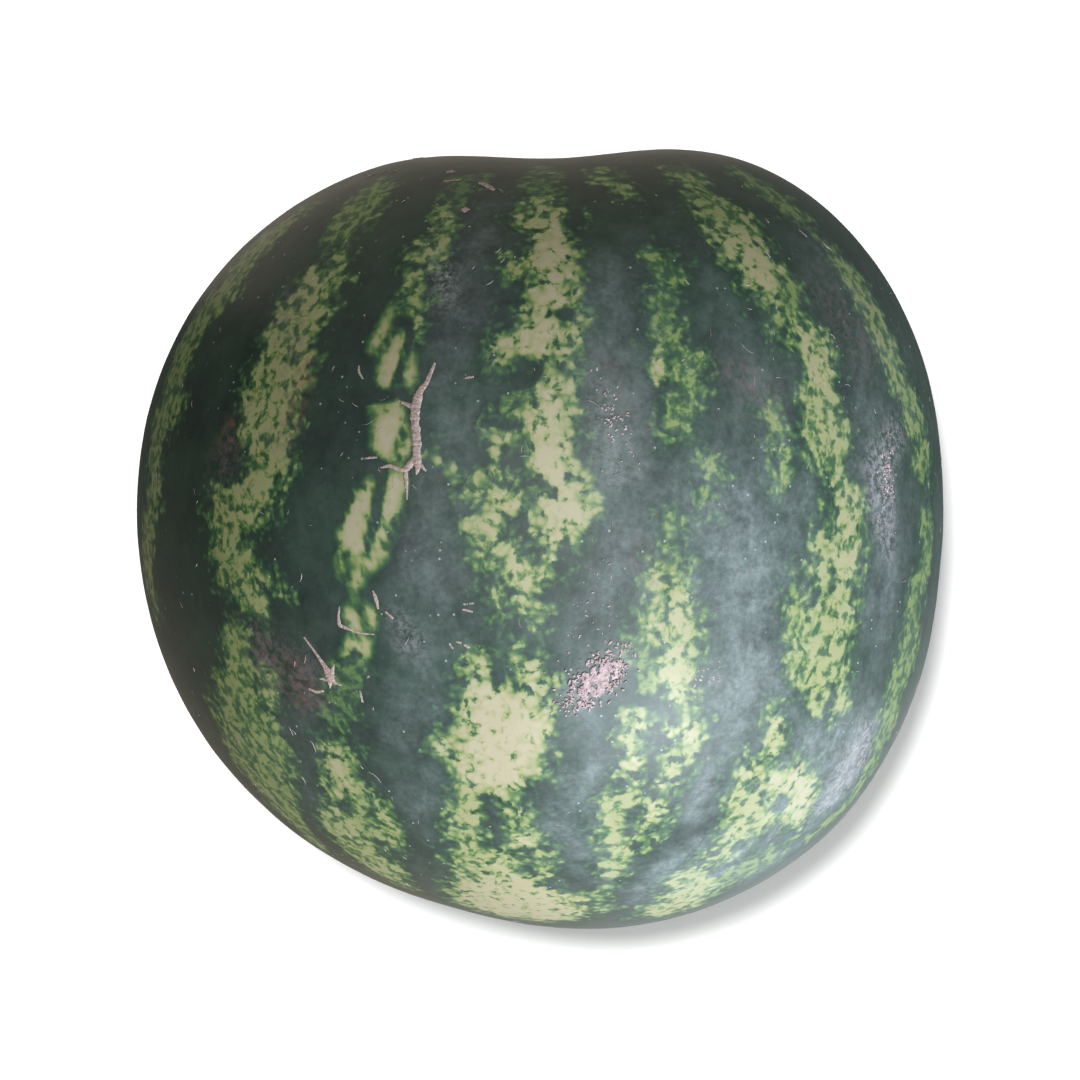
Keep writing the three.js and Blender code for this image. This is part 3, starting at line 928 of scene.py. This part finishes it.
# %% Wound cork
# The crest colour carries a painted highlight, and the hollow colour carries painted shade.
CORK_CREST_AND_HIGHLIGHT, CORK_HOLLOW_AND_SHADE = "#c3b2ac", "#8c7872"
CORK_GRAIN = 0.9


def dry_material(name, crest_and_highlight, hollow, grain_size, bump_depth):
    """A matt dry tissue with a grain, paler on its crests and darker in its hollows: partly its own tone,
    partly painted highlight and painted shade.
    """
    material = empty_material(name)
    place = add("VectorMath", {0: add("TexCoord", (), "Object"), "Scale": 1 / MM}, operation="SCALE")
    grain = add("TexNoise", {"Vector": place, "Scale": 1 / grain_size, "Detail": 4, "Roughness": 0.7})
    # The colour follows the bump's height: painted highlight on the crests, painted shade in the hollows.
    raised = add("MapRange", (grain, 0.35, 0.65))
    colour = add("Mix", {0: raised, 6: linear(hollow), 7: linear(crest_and_highlight)}, 2, data_type="RGBA")
    bump = add("Bump", {"Height": grain, "Strength": 0.7, "Distance": bump_depth * MM})
    surface = add("BsdfPrincipled", {"Base Color": colour, "Roughness": 0.85,
                                     "Specular IOR Level": 0.25, "Normal": bump})
    add("OutputMaterial", {"Surface": surface})
    return material


wound_cork = dry_material("wound_cork", CORK_CREST_AND_HIGHLIGHT, CORK_HOLLOW_AND_SHADE, CORK_GRAIN, 0.25)

# %% [markdown]
# The large scar has branches, where the skin tore sideways as the fruit swelled. The star is a
# prick with cracks that run out from it, and the thin scars are grazes a few millimetres long.
# They are listed as the stripes are. The two large ones stand a little higher.

# %% Healed scars
BRANCHING_SCAR = [
    [(-34.2, 57.8, 0.4), (-37.1, 51, 0.8), (-39.1, 48.4, 1.1), (-40.1, 45.8, 1.5), (-40.7, 42.8, 1.6),
     (-40.7, 38.3, 1.3), (-40.2, 34.4, 1.4), (-40.2, 25.9, 1.3), (-39.7, 23.9, 1),
     (-40.4, 21.3, 0.2)],
    [(-39.7, 25.2, 0.8), (-37.1, 22.5, 0.2)],
    [(-40.4, 27, 1), (-43, 23.9, 1.1), (-44.3, 22.6, 0.8), (-49.2, 24.3, 0.55), (-52.1, 23.6, 0.2)],
    [(-44, 23, 0.8), (-43.6, 19.4, 0.6), (-43.3, 13.2, 0.2)],
    [(-40.7, 43.4, 1), (-43.3, 44.1, 0.6), (-47.9, 46.1, 0.2)],
    [(-57.3, 26.5, 0.2), (-55, 26.9, 0.4), (-53.1, 26.9, 0.2)],
]
STAR_SCAR = [
    [(-68.2, -45, 1.8), (-70.2, -41, 0.8), (-73, -37, 0.45), (-77, -31.6, 0.3)],
    [(-68.6, -45.6, 1.5), (-67.8, -42.6, 0.7), (-67, -40.4, 0.2)],
    [(-68.8, -44.6, 1.5), (-67, -46.4, 0.6), (-64.8, -47.4, 0.2)],
    [(-67.6, -44.6, 1.4), (-70.2, -45.4, 0.5), (-72, -45.2, 0.2)],
    [(-68.4, -43.6, 1.5), (-68.5, -46.6, 0.7), (-68.4, -48.4, 0.2)],
]
THIN_SCARS = [
    [(-57.9, -46.6, 0.3), (-55.4, -44.2, 0.7), (-54.2, -43.6, 0.6), (-50.8, -42.4, 0.2)],
    [(-54.4, -43.6, 0.5), (-55, -41, 0.2)],
    [(-58.6, -49, 0.3), (-58.4, -51, 0.45), (-57.7, -53, 0.2)],
    [(-53.9, -52.3, 0.3), (-54.4, -55.5, 0.3)],
    [(-54.6, -16.4, 0.2), (-53.6, -19, 0.6), (-52.8, -22.5, 0.3)],
    [(-50.5, -23.3, 0.3), (-47.9, -25.6, 0.35)],
    [(-65.4, -21.6, 0.2), (-65.8, -25, 0.4), (-65.4, -27.8, 0.7), (-62.4, -29, 0.4),
     (-58.6, -30.4, 0.35), (-54, -30.8, 0.2)],
    [(-75.6, -48.4, 0.3), (-73, -49.6, 0.5), (-70.6, -49.2, 0.3)],
    [(-54.7, 77, 0.3), (-50, 78.2, 0.5), (-44, 77.6, 0.3)],
    [(-59, 57, 0.2), (-59.2, 55, 0.4), (-57.8, 52.6, 0.2)],
    [(-57.2, 73.8, 0.35), (-57, 71.4, 0.35)],
    [(-25.6, 52.2, 0.2), (-23.6, 52.9, 0.4), (-21.6, 53.2, 0.35)],
    [(-26.8, -8.6, 0.3), (-24.6, -8.2, 0.4)], [(-25.2, -21, 0.3), (-21.4, -20.6, 0.35)],
    [(-25.4, -22.6, 0.3), (-22, -23.4, 0.3)], [(-25, -34, 0.3), (-23, -35.2, 0.35)],
    [(-29.6, -33.6, 0.3), (-28.4, -35.4, 0.3)], [(-27.4, -33.2, 0.25), (-25.6, -33.6, 0.3)],
    [(24.6, 80.8, 0.3), (26.4, 77.8, 0.35)], [(-31.6, 117, 0.3), (-25.8, 117.6, 0.4)],
    [(-19.8, 116.6, 0.7), (-17, 115.4, 0.9), (-15, 114.2, 0.5)],
    [(-30.6, 119.8, 0.8), (-28.4, 120.4, 0.9)], [(-25.2, 108.2, 0.9), (-23.8, 107.2, 1.1)],
]
for name, routes, height in [("branching_scar", BRANCHING_SCAR, 0.6), ("star_scar", STAR_SCAR, 0.6),
                             ("thin_scars", THIN_SCARS, 0.35)]:
    fused(name, [ridge_body(route, height) for route in routes], wound_cork)

# %% [markdown]
# Beside the middle stripe a patch of skin was grazed and healed as a crust of separate corky
# grains. Each grain is a small closed dome with its own size and turn, set on the rind by a rule
# that thickens the crust towards the middle of a slanting patch and leaves gaps a few grains wide.
# Thinner crusts of the same kind lie where wax was rubbed off. They are paler than the ridges.

# %% Crust of corky grains
# The crest colour carries a painted highlight, and the hollow colour carries painted shade.
CRUST_CREST_AND_HIGHLIGHT, CRUST_HOLLOW_AND_SHADE = "#cfbfc0", "#988485"
CRUST_SPREAD = 0.42
CRUST_GAP, CRUST_GAP_LEVEL = 2.2, -0.12
GRAIN_SIDES = 6
GRAIN_RINGS = [(1.0, -0.25), (0.85, 0.22), (0.4, 0.42)]  # share of the reach, and height in mm
# Middle right and up, half length, half width, slant in degrees, number and half width of the grains.
CRUST_PATCHES = [
    (18.6, -45.8, 13, 6, 42, 1500, 0.31),
    (113, 22, 12, 2.6, -86, 150, 0.24),
    (24, 38, 20, 6, -80, 90, 0.25),
    (55, -46, 8, 6, 20, 40, 0.25),
    (16, -24, 26, 10, 70, 70, 0.22),
]

pale_crust = dry_material("pale_crust", CRUST_CREST_AND_HIGHLIGHT, CRUST_HOLLOW_AND_SHADE, 1.4, 0.15)


def grain_body(right, up, size):
    centre = seen(np.array([right]), np.array([up]))
    normal = rind_normals(centre)[0]
    first, second = tangents(normal, [0.3, 1, 0.2])
    spin = rng.uniform(0, 2 * math.pi)
    lengthwise = first * math.cos(spin) + second * math.sin(spin)
    crosswise = second * math.cos(spin) - first * math.sin(spin)
    long = rng.uniform(1.2, 3)
    verts = []
    for wide, lift in GRAIN_RINGS:
        for s in range(GRAIN_SIDES):
            turn = 2 * math.pi * s / GRAIN_SIDES
            reach = size * wide * rng.uniform(0.85, 1.15)
            flat = lengthwise * reach * long * math.cos(turn) + crosswise * reach * math.sin(turn)
            verts.append(centre[0] + flat + normal * lift * min(1, size / 0.5))
    top = (len(GRAIN_RINGS) - 1) * GRAIN_SIDES
    faces = [list(range(GRAIN_SIDES))[::-1], [top + s for s in range(GRAIN_SIDES)]]
    return np.array(verts), faces + tube_faces(len(GRAIN_RINGS), GRAIN_SIDES)


def grain_patch(middle_right, middle_up, half_long, half_wide, slant_degrees, count, size):
    slant = math.radians(slant_degrees)
    bodies = []
    for _ in range(count):
        along, across = rng.normal(0, CRUST_SPREAD, 2) * (half_long, half_wide)
        right = middle_right + along * math.cos(slant) - across * math.sin(slant)
        up = middle_up + along * math.sin(slant) + across * math.cos(slant)
        if noise.noise(Vector((right / CRUST_GAP, up / CRUST_GAP, 3))) > CRUST_GAP_LEVEL:
            bodies.append(grain_body(right, up, size * rng.uniform(0.5, 1.2)))
    return bodies


grains = [body for patch in CRUST_PATCHES for body in grain_patch(*patch)]
fused("grain_crust", grains, pale_crust)

# %% [markdown]
# Leaves and stalks brush the fruit in the wind and leave hundreds of healed hairlines, one to
# four millimetres long. They are strewn by rule over the whole skin, more of them in the middle
# of the side that faced the weather, as thin closed slivers a tenth of a millimetre high.

# %% Hairlines
HAIRLINES = 420
HAIRLINE_SUNK, HAIRLINE_HEIGHT = 0.08, 0.1
WEATHER_SIDE = np.array([0.1, 0.1, 0.99])


def sliver(direction, length, wide, spin, bend):
    """A thin closed three-sided body, lying on the skin."""
    centre = rind_point(direction[None])
    normal = rind_normals(centre)[0]
    first, second = tangents(normal, [0.2, 1, 0.1])
    along = first * math.cos(spin) + second * math.sin(spin)
    aside = np.cross(normal, along)
    verts = []
    for place in (-0.5, -0.2, 0.15, 0.5):
        thick = wide * (1 - (2 * abs(place)) ** 2 * 0.85)
        spot = centre[0] + along * place * length + aside * bend * (0.25 - place * place) * length
        foot = rind_point((spot - middle)[None] / np.linalg.norm(spot - middle))[0]
        root = foot - normal * HAIRLINE_SUNK
        verts += [root + aside * thick, root - aside * thick, foot + normal * HAIRLINE_HEIGHT]
    faces = [[0, 1, 2], [11, 10, 9]]
    return np.array(verts), faces + [[a, d, c, b] for a, b, c, d in tube_faces(4, 3)]


hairlines = []
while len(hairlines) < HAIRLINES:
    direction = rng.normal(0, 1, 3)
    direction /= np.linalg.norm(direction)
    weather = 0.25 + 0.75 * max(0, direction @ WEATHER_SIDE) ** 3
    if direction[2] > -0.85 and rng.random() < weather:
        spin = rng.normal(math.pi / 2, 0.9)
        length, wide = rng.gamma(3, 0.55) + 0.5, rng.uniform(0.1, 0.2)
        hairlines.append(sliver(direction, length, wide, spin, rng.normal(0, 0.5)))
fused("hairlines", hairlines, pale_crust)

# %% [markdown]
# Where the stem broke away, a round cork plug with torn fibres stays in the pit, and at the other
# end a small button of cork marks where the flower dried. Both are turned bodies with folds that
# run out from the middle, fitted to the low scars of the measured solid.

# %% End scars
STEM_SCAR_RADIUS, STEM_SCAR_HEIGHT = 7.0, 1.6
BLOSSOM_SCAR_RADIUS, BLOSSOM_SCAR_HEIGHT = 4.5, 0.9
SCAR_ROOT = 4.0
SCAR_SIDES = 72


def scar_profile(radius, height):
    """Reach and lift of each ring: a sunk root, a rolled rim and a hollow middle."""
    root = [(0.0, -SCAR_ROOT), (radius * 0.8, -SCAR_ROOT), (radius * 1.02, -0.4)]
    rim = [(0.99, 0.4), (0.92, 0.75), (0.83, 0.97), (0.74, 1), (0.62, 0.78)]
    hollow = [(0.5, 0.55), (0.36, 0.36), (0.22, 0.3), (0.1, 0.42), (0, 0.45)]
    return root + [(radius * reach, height * lift) for reach, lift in rim + hollow]


def scar_body(end, radius, height, folds):
    centre = rind_point(end[None])[0]
    first, second = tangents(end, [0.0, 0.0, 1.0])
    profile = scar_profile(radius, height)
    verts = [centre + end * profile[0][1]]
    for reach, lift in profile[1:-1]:
        for s in range(SCAR_SIDES):
            turn = 2 * math.pi * s / SCAR_SIDES
            x, y = math.cos(turn), math.sin(turn)
            fold = math.sin(folds * turn + 3 * noise.noise(Vector((2 * x, 2 * y, reach / 3))))
            wide = reach * (1 + 0.05 * noise.noise(Vector((2.5 * x, 2.5 * y, 7))))
            up = lift + (0.12 * height * fold * (reach / radius) if lift > 0 else 0)
            verts.append(centre + (first * x + second * y) * wide + end * up)
    verts.append(centre + end * profile[-1][1])
    rings, last = len(profile) - 2, len(verts) - 1
    faces = tube_faces(rings, SCAR_SIDES, 1)
    for s in range(SCAR_SIDES):
        after = (s + 1) % SCAR_SIDES
        faces.append([0, 1 + after, 1 + s])
        faces.append([last - SCAR_SIDES + s, last - SCAR_SIDES + after, last])
    return np.array(verts), faces


stem_scar = scar_body(STEM_END, STEM_SCAR_RADIUS, STEM_SCAR_HEIGHT, 17)
blossom_scar = scar_body(BLOSSOM_END, BLOSSOM_SCAR_RADIUS, BLOSSOM_SCAR_HEIGHT, 9)
fused("stem_scar", [stem_scar], wound_cork)
fused("blossom_scar", [blossom_scar], wound_cork)

# %% [markdown]
# A plain white floor, and the light of a room: a soft window to the lower right of the view, a
# pale ceiling, and a brown table all round that the edge of the fruit reflects. The floor stands
# for the white page under the fruit, so it takes no part in the fruit's own light, and a lamp
# that reaches only the floor lays a short soft shadow to the lower right.

# %% Floor and light
FLOOR_REACH = 3.0
PAPER, PAPER_LIGHT = "#f4f4f3", "#f8f8f8"

paper = empty_material("matt_paper")
fibres = add("TexNoise", {"Vector": add("TexCoord", (), "Object"), "Scale": 1 / 0.002, "Detail": 2,
                          "Roughness": 0.6})
paper_colour = add("Mix", {0: fibres, 6: linear(PAPER), 7: linear(PAPER_LIGHT)}, 2, data_type="RGBA")
paper_surface = add("BsdfPrincipled", {"Base Color": paper_colour, "Roughness": 0.95,
                                       "Specular IOR Level": 0.0})
add("OutputMaterial", {"Surface": paper_surface})

floor_mesh = bpy.data.meshes.new("floor")
corners = [(x * FLOOR_REACH, y * FLOOR_REACH, 0) for x, y in ((-1, -1), (1, -1), (1, 1), (-1, 1))]
floor_mesh.from_pydata(corners, [], [[0, 1, 2, 3]])
floor_mesh.materials.append(paper)
floor = placed("floor", floor_mesh)
floor.location.z = -0.3 * MM
floor.visible_glossy = False
floor.visible_diffuse = False

fruit_group = bpy.data.collections.new("fruit")
floor_group = bpy.data.collections.new("page")
for piece in bpy.context.scene.collection.objects:
    (floor_group if piece == floor else fruit_group).objects.link(piece)


def soft_light(name, place, size, watts, colour, reaches):
    """A round lamp, at a place in metres, that faces the middle of the fruit."""
    data = bpy.data.lights.new(name, "AREA")
    data.shape = "DISK"
    data.size = size
    data.energy = watts
    data.color = linear(colour)[:3]
    lamp = placed(name, data)
    lamp.location = place
    aim = Vector((0, 0, CENTRE_HEIGHT * MM)) - Vector(place)
    lamp.rotation_euler = aim.to_track_quat("-Z", "Y").to_euler()
    lamp.light_linking.receiver_collection = reaches


soft_light("window", (0.62, -0.95, 0.9), 0.8, 26, "#eef4ff", fruit_group)
soft_light("ceiling", (0.1, -0.1, 1.7), 1.4, 9.5, "#fffdf8", fruit_group)
soft_light("page_lamp", (-0.085, 0.12, 1.4), 0.1, 17, "#ffffff", floor_group)
soft_light("page_fill", (0, 0, 1.6), 0.5, 10, "#ffffff", floor_group)

# %% [markdown]
# The edge of the fruit is seen at a low angle, so it mirrors what stands round it. The table and
# the room are colours by bearing, in degrees from the right, turning towards the top of the view:
# brown at the top and the lower left, dark at the left and the right, pale on the window's side.

# %% Room
TABLE_ROUND = [(0, "#3b4642"), (50, "#4c524e"), (80, "#716b62"), (143.5, "#716b62"), (145.5, "#30322e"),
               (172, "#393a36"), (200, "#5c5750"), (250, "#736a5f"), (300, "#a3a8a8"), (335, "#8b9291"),
               (360, "#3b4642")]
CEILING = "#e8ecee"
CEILING_STRENGTH, TABLE_STRENGTH = 0.34, 2.3
FULL_TURN = 2 * math.pi

world = bpy.data.worlds.new("room")
world.use_nodes = True
tree = world.node_tree
tree.nodes.clear()
towards = add("SeparateXYZ", [add("TexCoord", (), "Generated")]).node.outputs
overhead = add("MapRange", (towards["Z"], -0.05, 0.5))
bearing = add("Math", (towards["Y"], towards["X"]), operation="ARCTAN2")
bearing = add("Math", (bearing, FULL_TURN), operation="ADD")
bearing = add("Math", (bearing, FULL_TURN), operation="MODULO")
table_colour = add("ValToRGB", [add("MapRange", (bearing, 0, FULL_TURN))])
set_stops(table_colour, [(degrees / 360, colour) for degrees, colour in TABLE_ROUND])
ceiling = add("Background", (linear(CEILING), CEILING_STRENGTH))
table = add("Background", (table_colour, TABLE_STRENGTH))
add("OutputWorld", {"Surface": add("MixShader", (overhead, table, ceiling))})
bpy.context.scene.world = world
bpy.context.scene.view_settings.view_transform = "Standard"

# %% [markdown]
# The camera looks straight down, as the photograph does on the side of the fruit. Its lens is
# worked out from how wide a strip of the world fills the picture at the fruit's middle height.

# %% Camera
SENSOR = 36
camera_data = bpy.data.cameras.new("camera")
camera_data.sensor_width = SENSOR
camera_data.lens = SENSOR * CAMERA_DISTANCE / FRAME_WIDTH
camera = placed("camera", camera_data)
camera.location = eye * MM
bpy.context.scene.camera = camera
print("lens", round(camera_data.lens, 1), "mm")
